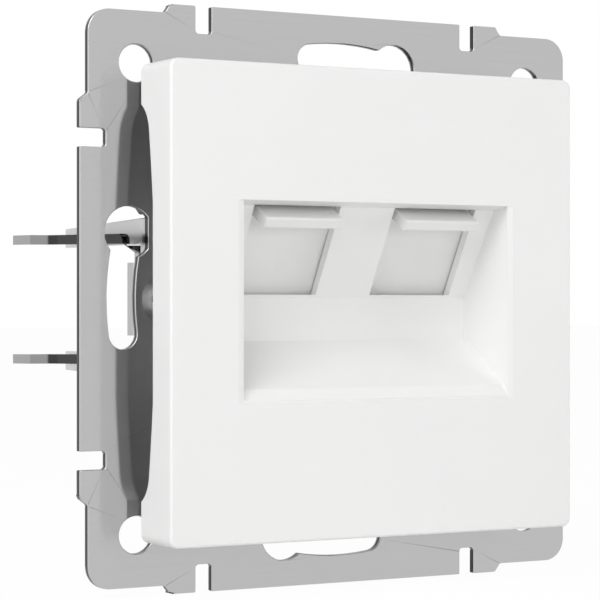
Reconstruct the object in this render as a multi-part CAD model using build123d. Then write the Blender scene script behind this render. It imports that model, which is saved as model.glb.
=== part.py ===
from build123d import *
import os
from math import atan2, cos, degrees, hypot, radians, sin

os.makedirs("parts", exist_ok=True)

# Double data outlet for a round wall box: a stamped steel support with spreading claws,
# a clip-on plastic cover with a slanted recess, two sprung dust shutters and two jacks.
# Millimetres. Origin at the middle of the support's wall side, room side towards -Y, +Z up.

# Ports in the slanted panel
PORT_WIDTH = 11.9
PORT_SILL = 0.55

# Shutter springs, one beside each shutter
SPRING_OFFSET = 1.95
SPRING_DIA = 1.9
SPRING_WIRE = 0.3
SPRING_TURNS = 8
SPRING_SEAT = 14.2
SPRING_PLAY = 0.3

# Shutters
SHUTTER_GAP = 0.25
SHUTTER_T = 1.0
SHUTTER_LAP = 0.65
SHUTTER_START = 0.3
SHUTTER_LENGTH = 13.0
SHUTTER_TRAVEL = 9.3
SHUTTER_WIDTH = PORT_WIDTH + 2 * SHUTTER_LAP
PORT_OFFSET = SPRING_OFFSET + SPRING_DIA / 2 + SPRING_PLAY + SHUTTER_WIDTH / 2
GRIP_INSET = 0.7
GRIP_WIDTH = PORT_WIDTH - 2 * GRIP_INSET
GRIP_TOP = 0.55
GRIP_THICK = 1.4
GRIP_REACH = 2.3
ARM_THICK = 1.5

# Guide plate behind the shutters
GUIDE_RIB = 0.8
GUIDE_RAIL = 1.3
GUIDE_PLAY = 0.1
GUIDE_TOP = -2.0
GUIDE_BOTTOM = 22.8
GUIDE_T = 1.0
GUIDE_MOUTH = PORT_WIDTH
GUIDE_MOUTH_END = 9.7
GUIDE_WIDTH = 2 * (PORT_OFFSET + SHUTTER_WIDTH / 2 + GUIDE_PLAY + GUIDE_RAIL)

# Jack modules, measured inwards from the slanted panel's face
JACK_FRONT = 3.75
JACK_BACK = 15.4
JACK_TOP = -1.6
JACK_BOTTOM = 11.6
JACK_WALL = 0.8
SHOULDER_START = 13.3
SHOULDER_RIM = 0.7
PLUG_WIDTH = PORT_WIDTH - 0.1
JACK_SIDE = 1.7
JACK_WIDTH = PLUG_WIDTH + 2 * JACK_SIDE
PLUG_TOP = 0.3
PLUG_DEEP = 6.6
LATCH_WIDTH = 6.2
LATCH_DEEP = 1.4
KEY_WIDTH = 3.2
KEY_DEEP = 1.2
CONTACTS = 8
CONTACT_PITCH = 1.02
CONTACT_DIA = 0.4
CONTACT_ROOT = 0.45
CONTACT_BEND = 0.5
CONTACT_NOSE = 1.6
CONTACT_FALL = 3.1
CONTACT_STOP = 1.4
BOARD_T = 1.6
BOARD_RISE = 1.7
IDC_DEPTH = 6.0
IDC_WIDTH = 15.0
IDC_HEIGHT = 12.6
IDC_SLOT = 0.7
IDC_SLOT_DEPTH = 4.6
IDC_PITCH = 3.4
BLADE_T = 0.4
BLADE_WIDTH = 2.4
BLADE_PLAY = 0.03
CAP_T = 1.2
CAP_SKIRT = 0.8
CAP_PLAY = 0.05
CAP_GATE = 5.4

# Claw screws
SCREW_DIA = 3.0
SCREW_HEAD = 5.8
SCREW_HEAD_T = 2.1
SCREW_LENGTH = 8.4
SCREW_SLOT = 0.8
SCREW_CROSS = 3.6

# Carrier that holds both jacks behind the support
CARRIER_TOP = 21.1
CARRIER_BOTTOM = -16.6
CARRIER_FLANGE = 2.0
CHEEK_CLEAR = 0.5
CHEEK_T = 1.2
CHEEK_IN = GUIDE_WIDTH / 2 + CHEEK_CLEAR
CHEEK_OUT = CHEEK_IN + CHEEK_T
CROSS_START = 11.2
CROSS_T = 2.0
CROSS_TOP = -3.4
CROSS_BOTTOM = 14.6
CLAW_BAY = 10.3
CHEEK_RELIEF = 0.7
RIB_REACH = 0.8
RIB_HALF = 4.0
EAR_TOP = 14.0
EAR_BOTTOM = -13.4
EAR_MARGIN = 1.8
JACK_PLAY = 0.1
SEAT_GAP = 0.02

# Claws, from the heel outwards
HEEL_GAP = 0.3
HEEL_TO_SCREW = 3.9
CLAW_T = 1.2
CLAW_WEB_Y = 2.5
CLAW_WEB_IN = CHEEK_OUT + HEEL_GAP
CLAW_SCREW_X = CLAW_WEB_IN + HEEL_TO_SCREW
CLAW_HEEL_HALF = 4.2
CLAW_HALF = 7.85
CLAW_WEB_HALF = 6.45
CLAW_TAB_HALF = 4.4
CLAW_NOTCH = 1.25
CLAW_NOTCH_IN = CLAW_SCREW_X + 2.3
CLAW_TAB_OUT = CLAW_SCREW_X + 2.87
CLAW_LIP = 2.0
CLAW_LIP_R = 0.9
CLAW_WING_IN = CLAW_SCREW_X + 3.5
CLAW_WING_OUT = CLAW_SCREW_X + 4.5
CLAW_SPLAY = 0.95
CLAW_HOLE_PLAY = 0.35
CLAW_HOLE_SNUG = 0.15
ARM_FLARE = 1.2
ARM_LENGTH = 19.6
ARM_WAIST = 9.5
TOOTH_STEP = 2.0
TOOTH_RISE = 1.0
TOOTH_LENGTH = 6.5
TOOTH_LEAN = 0.35
TIP_WIDTH = 1.85
TIP_SLOPE = 1.0
ARM_WIDTH = 1.8

# Bent lugs of the support that guide the claws
LUG_OUT = CLAW_SCREW_X + 2.7
LUG_DEPTH = 23.4
LUG_TOP = 9.7
LUG_TIP = 9.0
LUG_INNER = 6.6
LUG_ROOT = 4.8
LUG_ROOT_DEPTH = 1.2
LUG_RELIEF = 0.4

# Steel support, built out from the lugs to the circle of box screws, which comes to 60
PLATE_T = 1.0
LUG_EDGE = 1.75
SLOT_WIDTH = 3.7
BOX_SCREW_RADIUS = LUG_OUT + LUG_EDGE + SLOT_WIDTH / 2
ENTRY_DIA = 6.3
ENTRY_ANGLE = 15.2
SLOT_ANGLE = 7.9
PLATE_EDGE = 3.45
PLATE_STEP = 1.05
PLATE_MID = 2 * (BOX_SCREW_RADIUS + SLOT_WIDTH / 2 + PLATE_EDGE)
PLATE_CORNER = PLATE_MID - 2 * PLATE_STEP
STEP_LOW = 24.2
STEP_RUN = 0.8
STEP_R = 0.45
CORNER_R = 2.8
CORNER_INSET = 6.25
CORNER_HOLE = 4.5
NOTCH_OFFSET = 19.0
NOTCH_WIDTH = 2.2
NOTCH_DEPTH = 3.35
WINDOW_TOP = 18.9
WINDOW_BOTTOM = -12.6
WINDOW_GAP = 0.45
WINDOW_R = 1.5

# Shoulders of the carrier that stand out behind the box screw slots
SHOULDER_REACH = LUG_OUT + 1.6
SHOULDER_IN = LUG_OUT - 0.2
SHOULDER_Z = 10.15
SHOULDER_RISE = 2.4
CARRIER_WIDTH = 2 * (CLAW_SCREW_X + 0.3)
EAR_X = CARRIER_WIDTH / 2 - EAR_MARGIN

# Carrier screws
FIX_DIA = 2.2
FIX_HEAD = 4.4
FIX_HEAD_T = 1.5
FIX_LENGTH = 6.0
FIX_BOSS = 3.6

# Cover, set a little low on the support
COVER_SIDE = 4.6
COVER_SIZE = 2 * (CLAW_SCREW_X + COVER_SIDE)
COVER_LOW = -0.5
COVER_FRONT = -10.8
COVER_WALL = 1.8
SKIRT_WALL = 1.6
SKIRT_FOOT = 7.82
SKIRT_SPRING = 5.67
SKIRT_ARCH = 4.7
FOOT_WIDTH = 4.9
FOOT_CURVE = 3.5
FOOT_AT = COVER_SIZE / 2 - FOOT_WIDTH
ARCH_AT = 11.7
COVER_CORNER_R = 1.1
COVER_EDGE_R = 0.35

# Recess of the cover, as wide as the claw screws' heads let it be
RECESS_WALL = 1.15
HEAD_GAP = 0.95
SIDE_BEVEL = 0.7
SIDE_BEVEL_DEPTH = 0.2
SIDE_DRAFT = 0.5
MOUTH_WIDTH = 2 * (CLAW_SCREW_X - SCREW_HEAD / 2 - HEAD_GAP - RECESS_WALL + SIDE_BEVEL)
MOUTH_TOP = 11.65
MOUTH_BOTTOM = -12.25
LIP_BACK = -9.6
LIP_Z = -10.65
BAND_Y = -1.5
BAND_BOTTOM = -5.1
BAND_TOP = 0.14
SLOPE_TOP_Y = -7.85
SLOPE_TOP_Z = 11.2
CEILING_FRONT = -8.5

# Cover clips
CLIP_X = 12.0
CLIP_EDGE = 5.7
CLIP_Z = COVER_SIZE / 2 - CLIP_EDGE
CLIP_WIDTH = 4.4
CLIP_T = 1.4
CLIP_HOOK = 0.7
CLIP_CLEAR = 0.25

half_mid = PLATE_MID / 2
half_corner = PLATE_CORNER / 2
slope_run = BAND_Y - SLOPE_TOP_Y
slope_fall = SLOPE_TOP_Z - BAND_TOP
slope_length = hypot(slope_run, slope_fall)
tilt = atan2(slope_run, slope_fall)

# Slanted frame: local x is across, local y runs down the panel, local z goes into the wall
slant = Plane(origin=(0, SLOPE_TOP_Y, SLOPE_TOP_Z), x_dir=(1, 0, 0), z_dir=(0, cos(tilt), sin(tilt)))
# Front view plane: local x is +X, local y is +Z, extrusions go towards the room
front = Plane(origin=(0, 0, 0), x_dir=(1, 0, 0), z_dir=(0, -1, 0))
# Side view plane: local x is +Y, local y is +Z, extrusions go along +X
side = Plane(origin=(0, 0, 0), x_dir=(0, 1, 0), z_dir=(1, 0, 0))


def save(name, shape):
    export_step(shape, "parts/" + name + ".step")


def slab(x0, x1, y0, y1, z0, z1):
    box = Box(x1 - x0, y1 - y0, z1 - z0)
    return Pos((x0 + x1) / 2, (y0 + y1) / 2, (z0 + z1) / 2) * box


def slant_slab(x0, x1, down0, down1, deep0, deep1):
    return slant * slab(x0, x1, down0, down1, deep0, deep1)


def slant_point(down, deep):
    y = SLOPE_TOP_Y + down * sin(tilt) + deep * cos(tilt)
    z = SLOPE_TOP_Z - down * cos(tilt) + deep * sin(tilt)
    return (y, z)


def side_prism(points, x0, x1):
    outline = make_face(Polyline(*points, close=True))
    return Pos(x0, 0, 0) * extrude(side * outline, x1 - x0)


def mirrored(shape):
    return mirror(shape, Plane.YZ)


# Steel support, stamped flat with two pairs of lugs bent back
def support_outline():
    run = STEP_LOW - STEP_RUN
    quarter = [(run, half_mid), (STEP_LOW, half_corner), (half_corner, half_corner)]
    quarter += [(half_corner, STEP_LOW), (half_mid, run)]
    points = list(quarter)
    points += [(x, -z) for x, z in reversed(quarter)]
    points += [(-x, -z) for x, z in quarter]
    points += [(-x, z) for x, z in reversed(quarter)]
    outline = make_face(Polyline(*points, close=True))
    square = outline.vertices().filter_by(lambda v: abs(abs(v.X) - abs(v.Y)) < 0.01)
    outline = fillet(square, CORNER_R)
    steps = outline.vertices().filter_by(lambda v: abs(min(abs(v.X), abs(v.Y)) - STEP_LOW) < 1)
    return fillet(steps, STEP_R)


def support_notch():
    depth = NOTCH_DEPTH + 1
    slot = Pos(0, half_mid - NOTCH_DEPTH + depth / 2) * Rectangle(NOTCH_WIDTH, depth)
    return fillet(slot.vertices().sort_by(Axis.Y)[:2], NOTCH_WIDTH / 5)


def keyhole():
    radius = BOX_SCREW_RADIUS
    start = 180 - ENTRY_ANGLE
    path = CenterArc((0, 0), radius, start, ENTRY_ANGLE + SLOT_ANGLE)
    slot = SlotArc(path, SLOT_WIDTH)
    at = (radius * cos(radians(start)), radius * sin(radians(start)))
    return slot + Pos(*at) * Circle(ENTRY_DIA / 2)


blank = support_outline()
for turn in (0, 90, 180, 270):
    blank -= Rot(0, 0, turn) * keyhole()
    for across in (-NOTCH_OFFSET, NOTCH_OFFSET):
        blank -= Rot(0, 0, turn) * Pos(across, 0) * support_notch()
hole_half = half_corner - CORNER_INSET
for x in (-hole_half, hole_half):
    for z in (-hole_half, hole_half):
        blank -= Pos(x, z) * Circle(CORNER_HOLE / 2)
mouth_half = MOUTH_WIDTH / 2
recess_half = mouth_half - SIDE_BEVEL
jacket_half = recess_half + RECESS_WALL
window_half = jacket_half + WINDOW_GAP
window_height = WINDOW_TOP - WINDOW_BOTTOM
window = RectangleRounded(2 * window_half, window_height, WINDOW_R)
blank -= Pos(0, (WINDOW_TOP + WINDOW_BOTTOM) / 2) * window
relief_in = window_half - PLATE_T
relief_out = LUG_OUT - PLATE_T
for end in (-1, 1):
    for way in (-1, 1):
        relief_mid = (LUG_ROOT + LUG_TOP) / 2
        relief_height = LUG_TOP - LUG_ROOT + 2 * LUG_RELIEF
        relief = Rectangle(relief_out - relief_in, relief_height)
        blank -= Pos(end * (relief_in + relief_out) / 2, way * relief_mid) * relief
    blank -= Pos(end * CLAW_SCREW_X, 0) * Circle(SCREW_DIA / 2 + 0.3)
    for z in (EAR_TOP, EAR_BOTTOM):
        blank -= Pos(end * EAR_X, z) * Circle(FIX_DIA / 2 + 0.2)
    for way in (-1, 1):
        at = Pos(end * CLIP_X, COVER_LOW + way * CLIP_Z)
        blank -= at * Rectangle(CLIP_WIDTH + 2 * CLIP_CLEAR, CLIP_T + 2 * CLIP_HOOK + CLIP_CLEAR)
support = extrude(front * blank, PLATE_T)

lug_points = [(-PLATE_T, LUG_ROOT), (LUG_ROOT_DEPTH, LUG_ROOT), (LUG_ROOT_DEPTH + 0.1, LUG_INNER)]
lug_points += [(LUG_DEPTH, LUG_INNER), (LUG_DEPTH, LUG_TIP), (0, LUG_TOP), (-PLATE_T, LUG_TOP)]
upper_lug = side_prism(lug_points, LUG_OUT - PLATE_T, LUG_OUT)
lower_lug = mirror(upper_lug, Plane.XY)
for lug in (upper_lug, lower_lug):
    support += lug
    support += mirrored(lug)
save("support_plate", support)


# Clip-on cover: shell, arched skirt, recess walls, slanted panel and clips
def skirt_cut():
    # Space under the arched edge of one skirt wall, seen from the side
    foot = COVER_FRONT + SKIRT_FOOT
    spring = COVER_FRONT + SKIRT_SPRING
    crown = COVER_FRONT + SKIRT_ARCH
    deep = foot + 2
    curve_end = FOOT_AT - FOOT_CURVE
    curve_mid = (foot - 0.75 * (foot - spring), FOOT_AT - FOOT_CURVE * 0.46)
    slope_mid = ((spring + crown) / 2 - 0.05, (curve_end + ARCH_AT) / 2)
    upper = [ThreePointArc((foot, FOOT_AT), curve_mid, (spring, curve_end))]
    upper += [ThreePointArc((spring, curve_end), slope_mid, (crown, ARCH_AT))]
    flat = Line((crown, ARCH_AT), (crown, -ARCH_AT))
    lower = [mirror(arc, Plane.XZ) for arc in upper]
    rim = Polyline((foot, -FOOT_AT), (deep, -FOOT_AT), (deep, FOOT_AT), (foot, FOOT_AT))
    outline = make_face(Curve() + upper + [flat] + lower + [rim])
    return extrude(side * outline, COVER_SIZE, both=True)


outer = RectangleRounded(COVER_SIZE, COVER_SIZE, COVER_CORNER_R)
inner_size = COVER_SIZE - 2 * SKIRT_WALL
inner = RectangleRounded(inner_size, inner_size, COVER_CORNER_R)
skirt_plane = Plane(origin=(0, COVER_FRONT + SKIRT_FOOT, 0), x_dir=(1, 0, 0), z_dir=(0, -1, 0))
shell = extrude(skirt_plane * outer, SKIRT_FOOT)
front_rim = shell.faces().sort_by(Axis.Y)[0].edges()
shell = fillet(front_rim, COVER_EDGE_R)
shell -= extrude(skirt_plane * inner, SKIRT_FOOT - COVER_WALL)
arch = skirt_cut()
shell -= arch
shell -= Rot(0, 90, 0) * arch
cover = Pos(0, 0, COVER_LOW) * shell

recess_points = [(COVER_FRONT, SLOPE_TOP_Z), (SLOPE_TOP_Y, SLOPE_TOP_Z), (BAND_Y, BAND_TOP)]
recess_points += [(BAND_Y, BAND_BOTTOM), (LIP_BACK, LIP_Z), (COVER_FRONT, LIP_Z)]
recess_outline = make_face(Polyline(*recess_points, close=True))
jacket_outline = offset(recess_outline, RECESS_WALL, kind=Kind.INTERSECTION)
jacket = Pos(-jacket_half, 0, 0) * extrude(side * jacket_outline, 2 * jacket_half)
far = COVER_SIZE
in_front = slab(-far, far, COVER_FRONT - far, COVER_FRONT + COVER_WALL / 2, -far, far)
cover += jacket - in_front
plan_points = [(-recess_half, COVER_FRONT), (recess_half, COVER_FRONT)]
plan_points += [(recess_half - SIDE_DRAFT, BAND_Y), (SIDE_DRAFT - recess_half, BAND_Y)]
draft_plan = make_face(Polyline(*plan_points, close=True))
recess = Pos(-recess_half, 0, 0) * extrude(side * recess_outline, 2 * recess_half)
cover -= recess & extrude(draft_plan, COVER_SIZE, both=True)

# Bevelled mouth: narrow sides, a deep lower lip and a deep upper edge
lip_points = [(COVER_FRONT - 0.01, MOUTH_BOTTOM), (COVER_FRONT - 0.01, 0), (LIP_BACK, 0), (LIP_BACK, LIP_Z)]
top_points = [(COVER_FRONT - 0.01, 0), (COVER_FRONT - 0.01, MOUTH_TOP)]
top_points += [(CEILING_FRONT, SLOPE_TOP_Z), (CEILING_FRONT, 0)]
for points in (lip_points, top_points):
    edge_cut = side_prism(points, -recess_half, recess_half)
    cover -= edge_cut & extrude(draft_plan, COVER_SIZE, both=True)
side_front = COVER_FRONT + SIDE_BEVEL_DEPTH
mouth_mid = (MOUTH_TOP + MOUTH_BOTTOM) / 2
mouth_height = MOUTH_TOP - MOUTH_BOTTOM
rim_face = Pos(0, mouth_mid) * Rectangle(MOUTH_WIDTH, mouth_height)
rim_back = Pos(0, mouth_mid) * Rectangle(2 * recess_half, mouth_height - 0.05)
mouth_front = Plane(origin=(0, COVER_FRONT, 0), x_dir=(1, 0, 0), z_dir=(0, -1, 0))
mouth_back = Plane(origin=(0, side_front, 0), x_dir=(1, 0, 0), z_dir=(0, -1, 0))
cover -= loft([mouth_front * rim_face, mouth_back * rim_back])

# Two ports through the slanted panel, with a level sill
port_points = [slant_point(0, -0.6), (slant_point(0, -0.6)[0], PORT_SILL)]
port_points += [(BAND_Y + RECESS_WALL + 0.4, PORT_SILL), slant_point(0, RECESS_WALL + 0.4)]
for end in (-1, 1):
    x = end * PORT_OFFSET
    port_half = PORT_WIDTH / 2
    cover -= side_prism(port_points, x - port_half, x + port_half)

# Clips that pass through the support and hook behind it
clip_points = [(COVER_FRONT + COVER_WALL - 0.1, 0), (1.9, 0), (1.9, CLIP_T - 0.5)]
clip_points += [(0.15, CLIP_T + CLIP_HOOK), (0.15, CLIP_T), (COVER_FRONT + COVER_WALL - 0.1, CLIP_T)]
clip = side_prism(clip_points, -CLIP_WIDTH / 2, CLIP_WIDTH / 2)
for x in (-CLIP_X, CLIP_X):
    upper = Pos(x, 0, CLIP_Z - CLIP_T / 2) * clip
    cover += Pos(0, 0, COVER_LOW) * upper
    cover += Pos(0, 0, COVER_LOW) * mirror(upper, Plane.XY)
save("cover", cover)


# Dust shutters that slide down behind the panel
shutter_front = RECESS_WALL + SHUTTER_GAP
shutter_back = shutter_front + SHUTTER_T
shutter_end = SHUTTER_START + SHUTTER_LENGTH
arm_in = GUIDE_RIB + GUIDE_PLAY
shutter_in = PORT_OFFSET - SHUTTER_WIDTH / 2
shutter_out = PORT_OFFSET + SHUTTER_WIDTH / 2
shutter_sheet = (SHUTTER_START, shutter_end, shutter_front, shutter_back)
shutter = slant_slab(shutter_in, shutter_out, *shutter_sheet)
grip_ends = (PORT_OFFSET - GRIP_WIDTH / 2, PORT_OFFSET + GRIP_WIDTH / 2)
grip = slant_slab(*grip_ends, GRIP_TOP, GRIP_TOP + GRIP_THICK, -GRIP_REACH, shutter_front + 0.1)
grip_rim = grip.edges().filter_by(Axis.X).sort_by(Axis.Y)[:2]
grip = fillet(grip_rim, 0.25)
arm_rows = (SHUTTER_START, SHUTTER_START + ARM_THICK)
arm = slant_slab(arm_in, shutter_in + 0.1, *arm_rows, shutter_front, shutter_back)
shutter = shutter + grip + arm
save("shutter_right", shutter)
save("shutter_left", mirrored(shutter))

# Springs that push the shutters shut
spring_start = SHUTTER_START + ARM_THICK + 0.15
spring_length = SPRING_SEAT - spring_start - 0.1
spring_mid = shutter_front + SPRING_DIA / 2 + 0.02
coil_radius = (SPRING_DIA - SPRING_WIRE) / 2
coil_height = spring_length - SPRING_WIRE
coil = Helix(coil_height / SPRING_TURNS, coil_height, coil_radius)
wire_at = Plane(origin=coil @ 0, z_dir=coil % 0)
spring = sweep(wire_at * Circle(SPRING_WIRE / 2), path=coil)
spring_seat = Pos(SPRING_OFFSET, spring_start + SPRING_WIRE / 2, spring_mid) * Rot(-90, 0, 0)
spring = slant * (spring_seat * spring)
save("shutter_spring_right", spring)
save("shutter_spring_left", mirrored(spring))

# Guide plate: rails beside the shutters, spring channels, two mouths for the plugs
guide_front = shutter_back + GUIDE_PLAY
guide_back = guide_front + GUIDE_T
guide_half = GUIDE_WIDTH / 2
rail_in = PORT_OFFSET + SHUTTER_WIDTH / 2 + GUIDE_PLAY
guide = slant_slab(-guide_half, guide_half, GUIDE_TOP, GUIDE_BOTTOM, guide_front, guide_back)
rail_front = RECESS_WALL + SEAT_GAP
rail_top = GUIDE_TOP + 1.2
guide += slant_slab(-GUIDE_RIB, GUIDE_RIB, rail_top, slope_length - 1, rail_front, guide_back)
for end in (-1, 1):
    rail_ends = sorted((end * rail_in, end * guide_half))
    guide += slant_slab(*rail_ends, rail_top, slope_length - 1, rail_front, guide_back)
    slot_ends = sorted((end * GUIDE_RIB, end * (SPRING_OFFSET + SPRING_DIA / 2 + SPRING_PLAY)))
    guide -= slant_slab(*slot_ends, SHUTTER_START, SPRING_SEAT, guide_front - 1, guide_back + 1)
    mouth_ends = (end * PORT_OFFSET - GUIDE_MOUTH / 2, end * PORT_OFFSET + GUIDE_MOUTH / 2)
    guide -= slant_slab(*mouth_ends, PLUG_TOP - 0.2, GUIDE_MOUTH_END, guide_front - 1, guide_back + 1)
save("shutter_guide", guide)

# Jack housings with the plug cavity, latch channel and key slot
jack_half = JACK_WIDTH / 2
shoulder_half = jack_half + SHOULDER_RIM
housing = slab(-jack_half, jack_half, JACK_TOP, JACK_BOTTOM, JACK_FRONT, JACK_BACK)
rim_top = JACK_TOP - SHOULDER_RIM
rim_bottom = JACK_BOTTOM + SHOULDER_RIM
housing += slab(-shoulder_half, shoulder_half, rim_top, rim_bottom, SHOULDER_START, JACK_BACK)
cavity_end = JACK_BACK - JACK_WALL
plug_end = PLUG_TOP + PLUG_DEEP
latch_end = plug_end + LATCH_DEEP
key_end = latch_end + KEY_DEEP
housing -= slab(-PLUG_WIDTH / 2, PLUG_WIDTH / 2, PLUG_TOP, plug_end, JACK_FRONT - 1, cavity_end)
housing -= slab(-LATCH_WIDTH / 2, LATCH_WIDTH / 2, plug_end - 0.1, latch_end, JACK_FRONT - 1, cavity_end)
housing -= slab(-KEY_WIDTH / 2, KEY_WIDTH / 2, latch_end - 0.1, key_end, JACK_FRONT - 1, cavity_end)

# Eight sprung contact wires, rooted in the back wall and bent back on themselves
contact_y = PLUG_TOP + CONTACT_ROOT
contact_path = Polyline(
    (0, contact_y, cavity_end), (0, contact_y, JACK_FRONT + CONTACT_NOSE),
    (0, contact_y + CONTACT_BEND, JACK_FRONT + CONTACT_NOSE - CONTACT_BEND),
    (0, contact_y + CONTACT_BEND + CONTACT_FALL, cavity_end - CONTACT_STOP))
contact_start = Plane(origin=contact_path @ 0, z_dir=contact_path % 0)
contact = sweep(contact_start * Circle(CONTACT_DIA / 2), path=contact_path, transition=Transition.ROUND)
contact_row = []
for count in range(CONTACTS):
    across = (count - (CONTACTS - 1) / 2) * CONTACT_PITCH
    contact_row.append(Pos(across, 0, 0) * contact)
contacts = Compound(contact_row)

# Circuit board, wire terminals, their blades and the dust cap
jack_mid = (JACK_TOP + JACK_BOTTOM) / 2
board_start = JACK_BACK + SEAT_GAP
board_end = board_start + BOARD_T
board_half = shoulder_half
board_top = JACK_TOP - BOARD_RISE
board_bottom = JACK_BOTTOM + BOARD_RISE
board = slab(-board_half, board_half, board_top, board_bottom, board_start, board_end)
idc_start = board_end + SEAT_GAP
idc_end = idc_start + IDC_DEPTH
idc_half = IDC_WIDTH / 2
idc_top = jack_mid - IDC_HEIGHT / 2
idc_bottom = jack_mid + IDC_HEIGHT / 2
idc = slab(-idc_half, idc_half, idc_top, idc_bottom, idc_start, idc_end)
row_depth = IDC_HEIGHT / 2 - 1.6
blades = []
for count in range(4):
    across = (count - 1.5) * IDC_PITCH
    for way in (-1, 1):
        edge = jack_mid + way * IDC_HEIGHT / 2
        inner_edge = edge - way * row_depth
        ends = sorted((edge + way * 1, inner_edge))
        wire_slot = (across - IDC_SLOT / 2, across + IDC_SLOT / 2)
        idc -= slab(*wire_slot, *ends, idc_end - IDC_SLOT_DEPTH, idc_end + 1)
        middle = edge - way * row_depth / 2
        sides = (across - BLADE_WIDTH / 2, across + BLADE_WIDTH / 2)
        faces = (middle - BLADE_T / 2, middle + BLADE_T / 2)
        pocket_sides = (sides[0] - BLADE_PLAY, sides[1] + BLADE_PLAY)
        pocket_faces = (faces[0] - BLADE_PLAY, faces[1] + BLADE_PLAY)
        idc -= slab(*pocket_sides, *pocket_faces, idc_start - 1, idc_end - 0.6)
        blade = slab(*sides, *faces, idc_start + 0.03, idc_end - 0.8)
        blade -= slab(across - 0.15, across + 0.15, middle - 1, middle + 1, idc_end - 3.6, idc_end)
        blades.append(blade)
blades = Compound(blades)
cap_half = idc_half + CAP_SKIRT
cap_top = idc_top - CAP_SKIRT
cap_bottom = idc_bottom + CAP_SKIRT
cap = slab(-cap_half, cap_half, cap_top, cap_bottom, idc_end - 2.2, idc_end + CAP_T)
snug = idc_half + CAP_PLAY
cap -= slab(-snug, snug, idc_top - CAP_PLAY, idc_bottom + CAP_PLAY, idc_end - 3, idc_end + SEAT_GAP)
cap -= slab(-CAP_GATE, CAP_GATE, cap_top - 1, idc_top + 0.5, idc_end - 3, idc_end)
cap -= slab(-CAP_GATE, CAP_GATE, idc_bottom - 0.5, cap_bottom + 1, idc_end - 3, idc_end)

module = {"jack_housing": housing, "jack_contacts": contacts, "jack_board": board}
module |= {"terminal_block": idc, "terminal_blades": blades, "terminal_cap": cap}
for label, shape in module.items():
    for hand, x in (("left", -PORT_OFFSET), ("right", PORT_OFFSET)):
        save(label + "_" + hand, slant * (Pos(x, 0, 0) * shape))

# Carrier behind the support: flange with ears, two cheeks and the slanted cross plate
carrier_half = CARRIER_WIDTH / 2
carrier = slab(-carrier_half, carrier_half, SEAT_GAP, CARRIER_FLANGE, CARRIER_BOTTOM, CARRIER_TOP)
carrier -= slab(-CHEEK_IN, CHEEK_IN, -1, CARRIER_FLANGE + 1, CARRIER_BOTTOM + 3, WINDOW_TOP)
for end in (-1, 1):
    bay = sorted((end * CHEEK_IN, end * (carrier_half + 1)))
    carrier -= slab(*bay, -1, CARRIER_FLANGE + 1, -CLAW_BAY, CLAW_BAY)
shoulder_points = [(carrier_half - 1, SHOULDER_Z), (SHOULDER_IN, SHOULDER_Z)]
shoulder_points += [(SHOULDER_REACH, SHOULDER_Z + SHOULDER_RISE), (SHOULDER_REACH, EAR_TOP)]
shoulder_points += [(carrier_half - 1, EAR_TOP + SHOULDER_REACH - carrier_half)]
shoulder_sheet = make_face(Polyline(*shoulder_points, close=True))
shoulder_plane = Plane(origin=(0, CARRIER_FLANGE, 0), x_dir=(1, 0, 0), z_dir=(0, -1, 0))
shoulder = extrude(shoulder_plane * shoulder_sheet, CARRIER_FLANGE - SEAT_GAP)
carrier += shoulder
carrier += mirrored(shoulder)
# A rib beside each cheek, on which the heel of a claw bears
rib = slab(CHEEK_OUT - 0.1, CHEEK_OUT + RIB_REACH, CHEEK_RELIEF, CLAW_WEB_Y - 0.05, -RIB_HALF, RIB_HALF)
relief_half = CLAW_BAY - 1
cheek_points = [(SEAT_GAP, relief_half), (SEAT_GAP, CARRIER_TOP - 0.6)]
cheek_points += [(CARRIER_FLANGE + 0.8, CARRIER_TOP - 0.6)]

cross_end = CROSS_START + CROSS_T
cheek_points += [slant_point(CROSS_TOP + 0.4, cross_end), slant_point(CROSS_BOTTOM, cross_end)]
cheek_points += [slant_point(CROSS_BOTTOM, CROSS_START), (CARRIER_FLANGE, -CLAW_BAY - 1.5)]
cheek_points += [(SEAT_GAP, -CLAW_BAY - 1.5), (SEAT_GAP, -relief_half)]
cheek_points += [(CHEEK_RELIEF, -relief_half + 0.7), (CHEEK_RELIEF, relief_half - 0.7)]
cheek = side_prism(cheek_points, CHEEK_IN, CHEEK_IN + CHEEK_T)
for solid in (cheek, rib):
    carrier += solid
    carrier += mirrored(solid)
cross = slant_slab(-CHEEK_IN - 0.2, CHEEK_IN + 0.2, CROSS_TOP, CROSS_BOTTOM, CROSS_START, cross_end)
pass_half = jack_half + JACK_PLAY
pass_rows = (JACK_TOP - JACK_PLAY, JACK_BOTTOM + JACK_PLAY)
for end in (-1, 1):
    x = end * PORT_OFFSET
    cross -= slant_slab(x - pass_half, x + pass_half, *pass_rows, CROSS_START - 1, cross_end + 1)
carrier += cross
boss = Rot(90, 0, 0) * Cylinder(FIX_BOSS / 2, FIX_LENGTH - SEAT_GAP)
bore = Rot(90, 0, 0) * Cylinder(FIX_DIA / 2 + SEAT_GAP, FIX_LENGTH + 2)
for x in (-EAR_X, EAR_X):
    for z in (EAR_TOP, EAR_BOTTOM):
        carrier += Pos(x, (SEAT_GAP + FIX_LENGTH) / 2, z) * boss
        carrier -= Pos(x, FIX_LENGTH / 2, z) * bore
save("jack_carrier", carrier)

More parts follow.
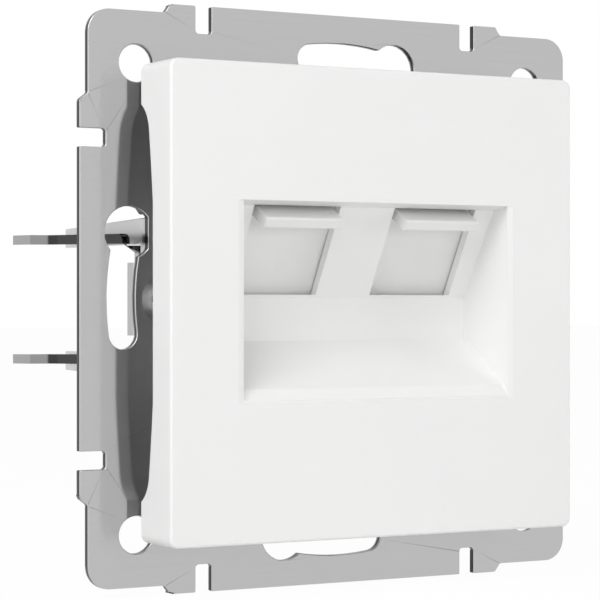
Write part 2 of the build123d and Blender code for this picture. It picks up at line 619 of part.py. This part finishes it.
# Four short screws through the support into the carrier's ears
head = Pos(0, -PLATE_T - FIX_HEAD_T / 2 - SEAT_GAP, 0) * Rot(90, 0, 0) * Cylinder(FIX_HEAD / 2, FIX_HEAD_T)
head_rim = head.edges().sort_by(Axis.Y)[0]
head = fillet(head_rim, 0.5)
shank_length = PLATE_T + FIX_LENGTH - 0.4
shank = Pos(0, -PLATE_T - 0.1 + shank_length / 2, 0) * Rot(90, 0, 0) * Cylinder(FIX_DIA / 2, shank_length)
fixing = head + shank
recess_y = -PLATE_T - FIX_HEAD_T
for size in ((2.4, 0.5), (0.5, 2.4)):
    fixing -= Pos(0, recess_y, 0) * Box(size[0], 1.6, size[1])
for tag, x, z in (
        ("top_left", -EAR_X, EAR_TOP), ("top_right", EAR_X, EAR_TOP),
        ("bottom_left", -EAR_X, EAR_BOTTOM), ("bottom_right", EAR_X, EAR_BOTTOM)):
    save("carrier_screw_" + tag, Pos(x, 0, z) * fixing)

# Claws: a web with a bent lip behind the support, and two toothed arms that spread into the box wall
def claw_sheet():
    # Upper half of the web seen from the room: heel, lug passage, wing, relief notch and tab
    points = [(-CLAW_WEB_IN - CLAW_T / 2, 0), (-CLAW_WEB_IN - CLAW_T / 2, CLAW_HEEL_HALF)]
    points += [(-CLAW_WEB_IN - 2, CLAW_WEB_HALF), (-CLAW_WING_IN, CLAW_WEB_HALF)]
    points += [(-CLAW_WING_IN, CLAW_HALF), (-CLAW_WING_OUT, CLAW_HALF), (-CLAW_WING_OUT, root_low)]
    points += [(-CLAW_WING_IN - 0.35, root_low), (-CLAW_NOTCH_IN, strap_low)]
    points += [(-CLAW_NOTCH_IN, CLAW_TAB_HALF), (-CLAW_TAB_OUT, CLAW_TAB_HALF), (-CLAW_TAB_OUT, 0)]
    return make_face(Polyline(*points, close=True))


root_low = CLAW_HALF - CLAW_T
strap_low = CLAW_TAB_HALF + CLAW_NOTCH
web_back = CLAW_WEB_Y + CLAW_T
lip = slab(-CLAW_TAB_OUT, CLAW_T - CLAW_TAB_OUT, CLAW_WEB_Y, CLAW_WEB_Y + CLAW_LIP, 0, CLAW_TAB_HALF)
web_plane = Plane(origin=(0, web_back, 0), x_dir=(1, 0, 0), z_dir=(0, -1, 0))
upper_web = extrude(web_plane * claw_sheet(), CLAW_T) + lip
lip_height = 4 * CLAW_TAB_HALF
lip_corner = Pos(-CLAW_TAB_OUT, CLAW_WEB_Y, 0) * Box(2 * CLAW_LIP_R, 2 * CLAW_LIP_R, lip_height)
lip_centre = Pos(CLAW_LIP_R - CLAW_TAB_OUT, CLAW_WEB_Y + CLAW_LIP_R, 0)
upper_web -= lip_corner - lip_centre * Cylinder(CLAW_LIP_R, lip_height)
arm_out = CLAW_WING_OUT + ARM_FLARE
arm_end = CLAW_WEB_Y + ARM_LENGTH
tooth_out = arm_out + TOOTH_STEP
tooth_start = arm_end + TOOTH_RISE
tooth_end = tooth_start + TOOTH_LENGTH
tip_out = tooth_out - TOOTH_LEAN
arm_points = [(-CLAW_WING_IN, CLAW_WEB_Y), (-CLAW_WING_OUT, CLAW_WEB_Y)]
arm_points += [(-CLAW_WING_OUT - 0.1, web_back + CLAW_T / 2), (-arm_out, arm_end)]
arm_points += [(-tooth_out, tooth_start), (-tip_out, tooth_end)]
arm_points += [(-tip_out + TIP_WIDTH, tooth_end - TIP_SLOPE), (-arm_out + ARM_WIDTH, arm_end - TIP_SLOPE)]
arm_points += [(-CLAW_WING_IN + 0.4, CLAW_WEB_Y + ARM_WAIST)]
arm_sheet = make_face(Polyline(*arm_points, close=True))
flat_arm = Pos(0, 0, root_low) * extrude(arm_sheet, CLAW_T)
bend = flat_arm.edges().filter_by(Axis.X).sort_by(Axis.Z)[-1]
flat_arm = fillet(bend, CLAW_T * 0.9)
upper_arm = Rot(CLAW_SPLAY, 0, 0) * Pos(0, -web_back, -root_low) * flat_arm
upper_arm = Pos(0, web_back, root_low) * upper_arm
bend_z = root_low + CLAW_T / 2
bend_block = slab(-CLAW_WING_OUT, -CLAW_WING_IN, 0, CLAW_WEB_Y + CLAW_T / 2, bend_z, CLAW_HALF + 1)
upper_half = (upper_web - bend_block) + upper_arm
claw = upper_half + mirror(upper_half, Plane.XY)
heel_at = Pos(-CLAW_WEB_IN - CLAW_T / 2, CLAW_WEB_Y + CLAW_T / 2, 0)
claw += heel_at * Cylinder(CLAW_T / 2, 2 * CLAW_HEEL_HALF)
hole = SlotOverall(SCREW_DIA + 2 * CLAW_HOLE_PLAY, SCREW_DIA + CLAW_HOLE_SNUG)
hole_plane = Plane(origin=(-CLAW_SCREW_X, web_back + 1, 0), x_dir=(1, 0, 0), z_dir=(0, -1, 0))
claw -= extrude(hole_plane * hole, CLAW_T + 2)
save("claw_left", claw)
save("claw_right", mirrored(claw))

# Claw screws with a combined slot and cross drive
head_at = Pos(0, -PLATE_T - SEAT_GAP - SCREW_HEAD_T / 2, 0)
screw_head = head_at * Rot(90, 0, 0) * Cylinder(SCREW_HEAD / 2, SCREW_HEAD_T)
screw_head = fillet(screw_head.edges().sort_by(Axis.Y)[0], 0.7)
shank_at = Pos(0, -PLATE_T - 0.1 + SCREW_LENGTH / 2, 0)
screw_shank = shank_at * Rot(90, 0, 0) * Cylinder(SCREW_DIA / 2, SCREW_LENGTH)
tip = screw_shank.edges().sort_by(Axis.Y)[-1]
screw_shank = chamfer(tip, 0.5)
claw_screw = screw_head + screw_shank
drive_y = -PLATE_T - SCREW_HEAD_T
claw_screw -= Pos(0, drive_y, 0) * Box(SCREW_HEAD + 1, 1.6, SCREW_SLOT)
claw_screw -= Pos(0, drive_y, 0) * Box(SCREW_SLOT, 2.2, SCREW_CROSS)
save("claw_screw_left", Pos(-CLAW_SCREW_X, 0, 0) * claw_screw)
save("claw_screw_right", Pos(CLAW_SCREW_X, 0, 0) * claw_screw)
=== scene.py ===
import bpy
import math
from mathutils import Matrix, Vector


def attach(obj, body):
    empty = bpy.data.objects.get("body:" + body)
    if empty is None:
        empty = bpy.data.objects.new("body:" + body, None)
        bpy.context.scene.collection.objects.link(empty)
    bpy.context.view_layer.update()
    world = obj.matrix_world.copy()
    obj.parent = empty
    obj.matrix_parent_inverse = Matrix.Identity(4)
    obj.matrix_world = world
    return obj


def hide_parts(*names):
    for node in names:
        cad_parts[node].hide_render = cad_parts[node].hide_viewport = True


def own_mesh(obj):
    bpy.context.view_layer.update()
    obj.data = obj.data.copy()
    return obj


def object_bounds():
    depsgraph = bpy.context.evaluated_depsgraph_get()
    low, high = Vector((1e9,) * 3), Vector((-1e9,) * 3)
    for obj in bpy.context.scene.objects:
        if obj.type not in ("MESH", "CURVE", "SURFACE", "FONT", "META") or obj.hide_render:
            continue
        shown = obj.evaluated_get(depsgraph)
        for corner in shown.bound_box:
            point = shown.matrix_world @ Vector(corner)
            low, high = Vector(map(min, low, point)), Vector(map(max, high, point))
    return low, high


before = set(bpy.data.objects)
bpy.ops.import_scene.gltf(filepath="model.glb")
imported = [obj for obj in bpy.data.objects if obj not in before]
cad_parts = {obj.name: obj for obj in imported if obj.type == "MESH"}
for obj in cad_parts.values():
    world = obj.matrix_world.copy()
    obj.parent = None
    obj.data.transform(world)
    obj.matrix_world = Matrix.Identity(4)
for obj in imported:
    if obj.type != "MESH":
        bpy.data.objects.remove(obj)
cad_low_high = [list(corner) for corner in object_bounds()]


# Support plate: one stamping of bright zinc-plated sheet, 1 mm thick, rolled and brushed along
# its width. The brushing is far finer than a hair, so it only stretches reflections upright.
# Its lugs are bent back from the same sheet, and stamping leaves a tiny rounding on each edge.
def place(tree, kind, **settings):
    made = tree.nodes.new(kind)
    for name, value in settings.items():
        setattr(made, name, value)
    return made


def feed(tree, source, socket):
    if isinstance(source, bpy.types.NodeSocket):
        tree.links.new(source, socket)
    else:
        socket.default_value = source


def reckon(tree, operation, *terms):
    made = place(tree, "ShaderNodeMath", operation=operation)
    for term, socket in zip(terms, made.inputs):
        feed(tree, term, socket)
    return made.outputs[0]


def share_of(tree, value, empty, full, low=0.0, high=1.0):
    made = place(tree, "ShaderNodeMapRange")
    labels = ("Value", "From Min", "From Max", "To Min", "To Max")
    for label, source in zip(labels, (value, empty, full, low, high)):
        feed(tree, source, made.inputs[label])
    return made.outputs["Result"]


def blend(tree, factor, first, second):
    made = place(tree, "ShaderNodeMix", data_type="RGBA")
    for label, source in (("Factor", factor), ("A", first), ("B", second)):
        feed(tree, (*source, 1) if isinstance(source, tuple) else source, made.inputs[label])
    return made.outputs["Result"]


def noise(tree, vector, scale, detail, roughness=0.5):
    made = place(tree, "ShaderNodeTexNoise")
    labels = ("Vector", "Scale", "Detail", "Roughness")
    for label, source in zip(labels, (vector, scale, detail, roughness)):
        feed(tree, source, made.inputs[label])
    return made.outputs["Fac"]


def coordinates(tree, kind="Object"):
    return place(tree, "ShaderNodeTexCoord").outputs[kind]


def axes_of(tree, vector):
    made = place(tree, "ShaderNodeSeparateXYZ")
    feed(tree, vector, made.inputs["Vector"])
    return made.outputs


def tone_ramp(tree, along, marks):
    made = place(tree, "ShaderNodeValToRGB")
    feed(tree, along, made.inputs["Fac"])
    stops = made.color_ramp.elements
    for index, (spot, level) in enumerate(marks):
        last = index == len(marks) - 1
        stop = stops[0] if index == 0 else stops[len(stops) - 1] if last else stops.new(spot)
        stop.position = spot
        stop.color = (level, level, level, 1)
    return made.outputs["Color"]


def effect_group(name, numbers, results):
    tree = bpy.data.node_groups.new(name, "ShaderNodeTree")
    for label, start in numbers.items():
        socket = tree.interface.new_socket(label, in_out="INPUT", socket_type="NodeSocketFloat")
        socket.default_value = start
    for label in results:
        tree.interface.new_socket(label, in_out="OUTPUT", socket_type="NodeSocketFloat")
    given, result = tree.nodes.new("NodeGroupInput"), tree.nodes.new("NodeGroupOutput")
    return tree, given.outputs, result.inputs


def skin_of(tree, effect, **values):
    made = place(tree, "ShaderNodeGroup", node_tree=effect)
    for label, value in values.items():
        made.inputs[label].default_value = value
    return made.outputs


def bare_material(name, metallic):
    made = bpy.data.materials.new(name)
    made.use_nodes = True
    shader = made.node_tree.nodes["Principled BSDF"]
    shader.inputs["Metallic"].default_value = metallic
    return made, made.node_tree, shader


def cover_with(tree, shader, colour, roughness):
    feed(tree, colour, shader.inputs["Base Color"])
    feed(tree, roughness, shader.inputs["Roughness"])


def raise_by(tree, shader, height, distance):
    bump = place(tree, "ShaderNodeBump")
    bump.inputs["Distance"].default_value = distance
    feed(tree, height, bump.inputs["Height"])
    feed(tree, bump.outputs["Normal"], shader.inputs["Normal"])


def dress(node, finish):
    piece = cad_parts[node]
    piece.data.materials.clear()
    piece.data.materials.append(finish)
    return piece


def soften(piece, width):
    seam = piece.modifiers.new("closed seams", "WELD")
    seam.merge_threshold = 0.000002
    rounding = piece.modifiers.new("edge rounding", "BEVEL")
    rounding.width = width
    rounding.segments = 2
    rounding.limit_method = "ANGLE"
    rounding.angle_limit = math.radians(35)
    rounding.use_clamp_overlap = False
    rounding.harden_normals = True


# Brushing: noise drawn out along X, so its lines run across the sheet, over wider patches
line_share = 0.65
brushing, given, result = effect_group(
    "sheet brushing",
    {"Along": 60.0, "Across": 5200.0, "Smooth": 0.15, "Rough": 0.19},
    ["Height", "Shade", "Roughness"])
spot = axes_of(brushing, coordinates(brushing))
stretched = place(brushing, "ShaderNodeCombineXYZ")
for axis, rate in (("X", "Along"), ("Y", "Along"), ("Z", "Across")):
    drawn_out = reckon(brushing, "MULTIPLY", spot[axis], given[rate])
    feed(brushing, drawn_out, stretched.inputs[axis])
lines = noise(brushing, stretched.outputs["Vector"], 1.0, 3.0, 0.6)
patches = noise(brushing, coordinates(brushing), 90.0, 2.0)
patch_part = reckon(brushing, "MULTIPLY", patches, 1 - line_share)
shade = reckon(brushing, "MULTIPLY_ADD", lines, line_share, patch_part)
feed(brushing, lines, result["Height"])
feed(brushing, shade, result["Shade"])
gloss = share_of(brushing, shade, 0.0, 1.0, given["Smooth"], given["Rough"])
feed(brushing, gloss, result["Roughness"])

sheet_steel, tree, shader = bare_material("bright brushed sheet", 1.0)
shader.inputs["Anisotropic"].default_value = 0.9
shader.inputs["Anisotropic Rotation"].default_value = 0.25
brushed = skin_of(tree, brushing)
polished = blend(tree, brushed["Shade"], (0.475, 0.475, 0.48), (0.53, 0.53, 0.535))

# Cut edges: a painted highlight line runs along the room side of each cut edge, with a painted
# dark reflection behind it. They are where the sheet doesn't face the room, before the lugs
# start.
sheet_thickness = 0.001
edge_starts, edge_full = 0.35, 0.10
# Painted highlight line, then painted dark reflection, by depth through the sheet's thickness
painted_edge_glint_marks = ((0.0, 0.85), (0.12, 0.85), (0.14, 0.03), (0.45, 0.03), (0.60, 0.055), (1.0, 0.02))
facing = axes_of(tree, coordinates(tree, "Normal"))
within = axes_of(tree, coordinates(tree))
cut_edge = share_of(tree, reckon(tree, "ABSOLUTE", facing["Y"]), edge_starts, edge_full)
sheared = reckon(tree, "MULTIPLY", cut_edge, reckon(tree, "LESS_THAN", within["Y"], 0.0))
painted_edge_glint_and_shade = tone_ramp(tree, share_of(tree, within["Y"], -sheet_thickness, 0.0), painted_edge_glint_marks)
sheet_with_painted_edges = blend(tree, sheared, polished, painted_edge_glint_and_shade)

# Lugs: the bend stretches the plating, so it turns matt and paler behind the sheet
bend_starts, bend_ends = 0.0002, 0.0016
lug_dulling = 0.30
bent_back = share_of(tree, within["Y"], bend_starts, bend_ends)
cover_with(
    tree, shader,
    blend(tree, bent_back, sheet_with_painted_edges, (0.75, 0.75, 0.76)),
    reckon(tree, "MULTIPLY_ADD", bent_back, lug_dulling, brushed["Roughness"]))
raise_by(tree, shader, brushed["Height"], distance=0.000001)
soften(dress("support_plate", sheet_steel), width=0.00010)


# Cover: one injection moulding of white plastic with a satin skin. The tool's fine spark-eroded
# grain breaks up the gloss, and the plastic is a little uneven in tone where the melt met.
# Its edges are crisp, as the tool's parting leaves them.
grain, given, result = effect_group(
    "moulded grain",
    {"Grain": 4200.0, "Smooth": 0.34, "Rough": 0.46},
    ["Height", "Tone", "Roughness"])
pits = noise(grain, coordinates(grain), given["Grain"], 2.0)
flow = noise(grain, coordinates(grain), 55.0, 3.0)
feed(grain, pits, result["Height"])
feed(grain, flow, result["Tone"])
gloss = share_of(grain, flow, 0.0, 1.0, given["Smooth"], given["Rough"])
feed(grain, gloss, result["Roughness"])


def moulded(name, dark, light, size=4200.0, smooth=0.34, rough=0.46, depth=0.000006):
    made, tree, shader = bare_material(name, 0.0)
    skin = skin_of(tree, grain, Grain=size, Smooth=smooth, Rough=rough)
    cover_with(tree, shader, blend(tree, skin["Tone"], dark, light), skin["Roughness"])
    raise_by(tree, shader, skin["Height"], depth)
    return made


dress("cover", moulded("white cover plastic", (0.845, 0.845, 0.84), (0.875, 0.875, 0.87)))


# Shutters: small matt white mouldings, each with a grip like a ledge. They slide behind the
# slanted panel, and their white is painted a shade greyer than the cover's as painted shade for
# its shadow.
# Greyer white: painted shade for the cover's shadow that the shutters sit in
shutter_plastic = moulded(
    "white shutter plastic", (0.80, 0.80, 0.795), (0.83, 0.83, 0.825),
    size=5200.0, smooth=0.42, rough=0.55)
for hand in ("left", "right"):
    dress("shutter_" + hand, shutter_plastic)


# Shutter springs: a coil of 0.3 mm spring wire under each shutter's arm. It stands in the guide
# plate's channel and is squeezed as its shutter slides down.
panel_top_y, panel_top_z = -0.00785, 0.0112
panel_run, panel_fall = 0.00635, 0.01106
wire_radius = 0.00015
coil_radius, coil_turns, steps_a_turn = 0.0008, 8, 24
coil_across, coil_deep = 0.00195, 0.00237
coil_top, coil_height = 0.0021, 0.01185
lean = math.atan2(panel_run, panel_fall)


def slanted(across, down, deep):
    y = panel_top_y + down * math.sin(lean) + deep * math.cos(lean)
    z = panel_top_z - down * math.cos(lean) + deep * math.sin(lean)
    return Vector((across, y, z))


def wire_along(name, points, radius, sides=10):
    verts, faces = [], []
    up = Vector((1, 0, 0))
    for index, point in enumerate(points):
        ahead = points[min(index + 1, len(points) - 1)] - points[max(index - 1, 0)]
        ahead.normalize()
        out = (up - ahead * up.dot(ahead)).normalized()
        over = ahead.cross(out)
        up = out
        for side in range(sides):
            turn = 2 * math.pi * side / sides
            verts.append(point + radius * (math.cos(turn) * out + math.sin(turn) * over))
    for ring in range(len(points) - 1):
        for side in range(sides):
            a = ring * sides + side
            b = ring * sides + (side + 1) % sides
            faces.append((a, b, b + sides, a + sides))
    last = (len(points) - 1) * sides
    faces.append(tuple(range(sides - 1, -1, -1)))
    faces.append(tuple(range(last, last + sides)))
    mesh = bpy.data.meshes.new(name)
    mesh.from_pydata(verts, [], faces)
    mesh.polygons.foreach_set("use_smooth", [True] * len(faces))
    mesh.update()
    piece = bpy.data.objects.new(name, mesh)
    bpy.context.scene.collection.objects.link(piece)
    return piece


def metal(name, dark, light, across, smooth, rough):
    made, tree, shader = bare_material(name, 1.0)
    skin = skin_of(tree, brushing, Across=across, Smooth=smooth, Rough=rough)
    cover_with(tree, shader, blend(tree, skin["Shade"], dark, light), skin["Roughness"])
    return made, tree, shader, skin


spring_wire, tree, shader, drawn = metal(
    "drawn spring wire", (0.45, 0.45, 0.46), (0.62, 0.62, 0.63),
    across=900.0, smooth=0.16, rough=0.36)
raise_by(tree, shader, drawn["Height"], distance=0.000004)
for hand, sign in (("left", -1), ("right", 1)):
    coil = []
    for step in range(coil_turns * steps_a_turn + 1):
        turn = step / steps_a_turn
        angle = sign * 2 * math.pi * turn
        coil.append(slanted(
            sign * coil_across + coil_radius * math.cos(angle),
            coil_top + coil_height * turn / coil_turns,
            coil_deep + coil_radius * math.sin(angle)))
    spring = wire_along("shutter_coil_" + hand, coil, wire_radius)
    spring.data.materials.append(spring_wire)
    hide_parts("shutter_spring_" + hand)
    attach(spring, "socket")
    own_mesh(spring)


# Guide plate: a matt grey moulding behind the slanted panel. Its rails carry both shutters and
# its two openings let the plugs through.
guide_plastic = moulded(
    "grey guide plastic", (0.60, 0.60, 0.595), (0.68, 0.68, 0.675),
    size=3600.0, smooth=0.45, rough=0.6)
soften(dress("shutter_guide", guide_plastic), width=0.00004)


# Jacks: a black glass-filled housing with eight gold-flashed contact wires, a green lacquered
# board and an off-white terminal block with tinned blades under a milky dust cap.
jack_plastic = moulded(
    "black jack plastic", (0.020, 0.020, 0.022), (0.034, 0.034, 0.036),
    size=3000.0, smooth=0.38, rough=0.55)
board_lacquer = moulded(
    "lacquered board", (0.010, 0.110, 0.045), (0.018, 0.170, 0.070),
    size=1500.0, smooth=0.2, rough=0.35, depth=0.00001)
terminal_plastic = moulded(
    "off-white terminal plastic", (0.70, 0.69, 0.66), (0.76, 0.75, 0.72),
    size=3200.0, smooth=0.4, rough=0.55)
cap_plastic = moulded(
    "milky cap plastic", (0.62, 0.66, 0.70), (0.70, 0.74, 0.77),
    size=3800.0, smooth=0.25, rough=0.38)
contact_gold = metal(
    "gold-flashed wire", (0.70, 0.45, 0.14), (0.90, 0.66, 0.26),
    across=1500.0, smooth=0.16, rough=0.30)[0]
blade_tin = metal(
    "tinned blade", (0.58, 0.57, 0.55), (0.74, 0.73, 0.71),
    across=1800.0, smooth=0.16, rough=0.30)[0]
for hand in ("left", "right"):
    soften(dress("jack_housing_" + hand, jack_plastic), width=0.00005)
    dress("jack_contacts_" + hand, contact_gold)
    soften(dress("jack_board_" + hand, board_lacquer), width=0.00003)
    soften(dress("terminal_block_" + hand, terminal_plastic), width=0.00004)
    dress("terminal_blades_" + hand, blade_tin)
    soften(dress("terminal_cap_" + hand, cap_plastic), width=0.00008)


# Carrier: a dark grey glass-filled moulding that holds both jacks behind the support. Four short
# zinc-plated screws clamp its ears to the steel.
carrier_plastic = moulded(
    "dark carrier plastic", (0.050, 0.051, 0.053), (0.075, 0.076, 0.078),
    size=2600.0, smooth=0.42, rough=0.6, depth=0.00001)
soften(dress("jack_carrier", carrier_plastic), width=0.00008)
screw_steel, tree, shader = metal(
    "zinc-plated screw", (0.50, 0.50, 0.51), (0.66, 0.66, 0.67),
    across=2400.0, smooth=0.18, rough=0.30)[:3]

# Threads: rings round each screw's shank, from the steel's wall side backwards
thread_rate, thread_depth = 100.0, 0.00012
thread = place(
    tree, "ShaderNodeTexWave", wave_type="BANDS", bands_direction="Y", wave_profile="TRI")
thread.inputs["Scale"].default_value = thread_rate
feed(tree, coordinates(tree), thread.inputs["Vector"])
along_screw = axes_of(tree, coordinates(tree))
behind_steel = reckon(tree, "GREATER_THAN", along_screw["Y"], 0.0)
cut_thread = reckon(tree, "MULTIPLY", thread.outputs["Fac"], behind_steel)
raise_by(tree, shader, cut_thread, thread_depth)
for corner in ("top_left", "top_right", "bottom_left", "bottom_right"):
    dress("carrier_screw_" + corner, screw_steel)


# Claws: bent up from 1.2 mm sheet with a dark finish; their near-black colour is also painted
# shade that hides bright reflections. They have bright sheared edges at the teeth and a web that
# is rubbed grey in front. A zinc-plated screw with a slot and cross drive pulls each one.
def inside(tree, value, limit, fade):
    return share_of(tree, value, limit + fade, limit - fade)


teeth_start, teeth_fade = 0.0220, 0.0002
web_reach, reach_fade = 0.02675, 0.0001
web_depth, depth_fade = 0.0052, 0.0004
web_half_height, height_fade = 0.0056, 0.0002
web_dulling = 0.28
claw_steel, tree, shader = bare_material("dark claw steel", 1.0)
brushed = skin_of(tree, brushing, Across=1400.0, Smooth=0.06, Rough=0.12)
# Near-black: the claws' dark finish plus painted shade that hides their bright reflections
dark_finish_and_painted_shade = blend(tree, brushed["Shade"], (0.020, 0.020, 0.021), (0.032, 0.032, 0.033))
bare_teeth = blend(tree, brushed["Shade"], (0.27, 0.27, 0.275), (0.33, 0.33, 0.335))
claw_spot = axes_of(tree, coordinates(tree))
teeth = share_of(tree, claw_spot["Y"], teeth_start - teeth_fade, teeth_start + teeth_fade)
near_middle = inside(tree, reckon(tree, "ABSOLUTE", claw_spot["X"]), web_reach, reach_fade)
near_steel = inside(tree, claw_spot["Y"], web_depth, depth_fade)
off_level = reckon(tree, "ABSOLUTE", claw_spot["Z"])
between_arms = inside(tree, off_level, web_half_height, height_fade)
web = reckon(tree, "MULTIPLY", reckon(tree, "MULTIPLY", near_middle, near_steel), between_arms)
cover_with(
    tree, shader,
    blend(tree, web, blend(tree, teeth, dark_finish_and_painted_shade, bare_teeth), (0.50, 0.50, 0.51)),
    reckon(tree, "MULTIPLY_ADD", web, web_dulling, brushed["Roughness"]))
raise_by(tree, shader, brushed["Height"], distance=0.000005)
for hand in ("left", "right"):
    dress("claw_" + hand, claw_steel)
    dress("claw_screw_" + hand, screw_steel)


# Floor: a pale board that the support's lower edge stands on. The camera sees it as almost
# white with a trace of the outlet's shadow, and gloss sees the same.
def backdrop_rays(tree):
    path = place(tree, "ShaderNodeLightPath").outputs
    direct = reckon(tree, "MAXIMUM", path["Is Camera Ray"], path["Is Glossy Ray"])
    return reckon(tree, "MAXIMUM", direct, path["Is Transmission Ray"])


floor_reach = 3.0
floor_z = cad_low_high[0][2]
floor_white_share = 0.97
corners = [(-1, -1), (1, -1), (1, 1), (-1, 1)]
floor_mesh = bpy.data.meshes.new("floor")
floor_mesh.from_pydata(
    [(x * floor_reach, y * floor_reach, floor_z) for x, y in corners], [], [(0, 1, 2, 3)])
floor = bpy.data.objects.new("floor", floor_mesh)
bpy.context.scene.collection.objects.link(floor)
floor_pale, tree, shader = bare_material("pale floor", 0.0)
shader.inputs["Base Color"].default_value = (0.92, 0.92, 0.92, 1)
shader.inputs["Roughness"].default_value = 0.9
white = place(tree, "ShaderNodeEmission")
veil = place(tree, "ShaderNodeMixShader")
feed(tree, reckon(tree, "MULTIPLY", backdrop_rays(tree), floor_white_share), veil.inputs["Fac"])
feed(tree, shader.outputs["BSDF"], veil.inputs[1])
feed(tree, white.outputs["Emission"], veil.inputs[2])
feed(tree, veil.outputs["Shader"], tree.nodes["Material Output"].inputs["Surface"])
floor_mesh.materials.append(floor_pale)


# Studio: a plain surround that the camera and gloss see as white. It lights the outlet softly
# from all sides at about a third of that.
surround_light = (0.34, 0.34, 0.34)
studio = bpy.data.worlds.new("studio")
studio.use_nodes = True
tree = studio.node_tree
shown = blend(tree, backdrop_rays(tree), surround_light, (1, 1, 1))
feed(tree, shown, tree.nodes["Background"].inputs["Color"])
bpy.context.scene.world = studio


# Lamps: four soft boxes aimed at the outlet. Gloss sees the key and the left one only, because
# the other two only fill the recess and the cover's front.
def soft_lamp(name, at, size, watts, in_gloss):
    lamp = bpy.data.lights.new(name, "AREA")
    lamp.size = size
    lamp.energy = watts
    holder = bpy.data.objects.new(name, lamp)
    holder.location = at
    holder.rotation_euler = (-Vector(at)).to_track_quat("-Z", "Y").to_euler()
    holder.visible_glossy = in_gloss
    bpy.context.scene.collection.objects.link(holder)


soft_lamp("key lamp", (-0.42, -0.30, 0.42), size=0.40, watts=2.20, in_gloss=True)
soft_lamp("left lamp", (-0.62, -0.12, 0.12), size=0.40, watts=0.68, in_gloss=True)
soft_lamp("right lamp", (0.60, -0.28, 0.05), size=0.30, watts=1.20, in_gloss=False)
soft_lamp("low lamp", (-0.05, -0.62, 0.0), size=0.25, watts=0.85, in_gloss=False)


# Camera: level with the middle of the outlet, 29.6 degrees round to its left, with a long lens.
# It was fitted to the straight edges in the photograph, which is 600 pixels wide.
picture_width = 600
focal_length_in_pixels, rise_in_pixels = 2301.4, 5.2
lens = bpy.data.cameras.new("camera")
lens.sensor_width = 36.0
lens.lens = focal_length_in_pixels / picture_width * lens.sensor_width
lens.shift_y = rise_in_pixels / picture_width
lens.clip_start = 0.01
camera = bpy.data.objects.new("camera", lens)
camera.location = (-0.145888, -0.247915, -0.000738)
camera.rotation_euler = (math.radians(90), 0, math.radians(-29.59))
bpy.context.scene.collection.objects.link(camera)
bpy.context.scene.camera = camera
bpy.context.scene.view_settings.view_transform = "Standard"
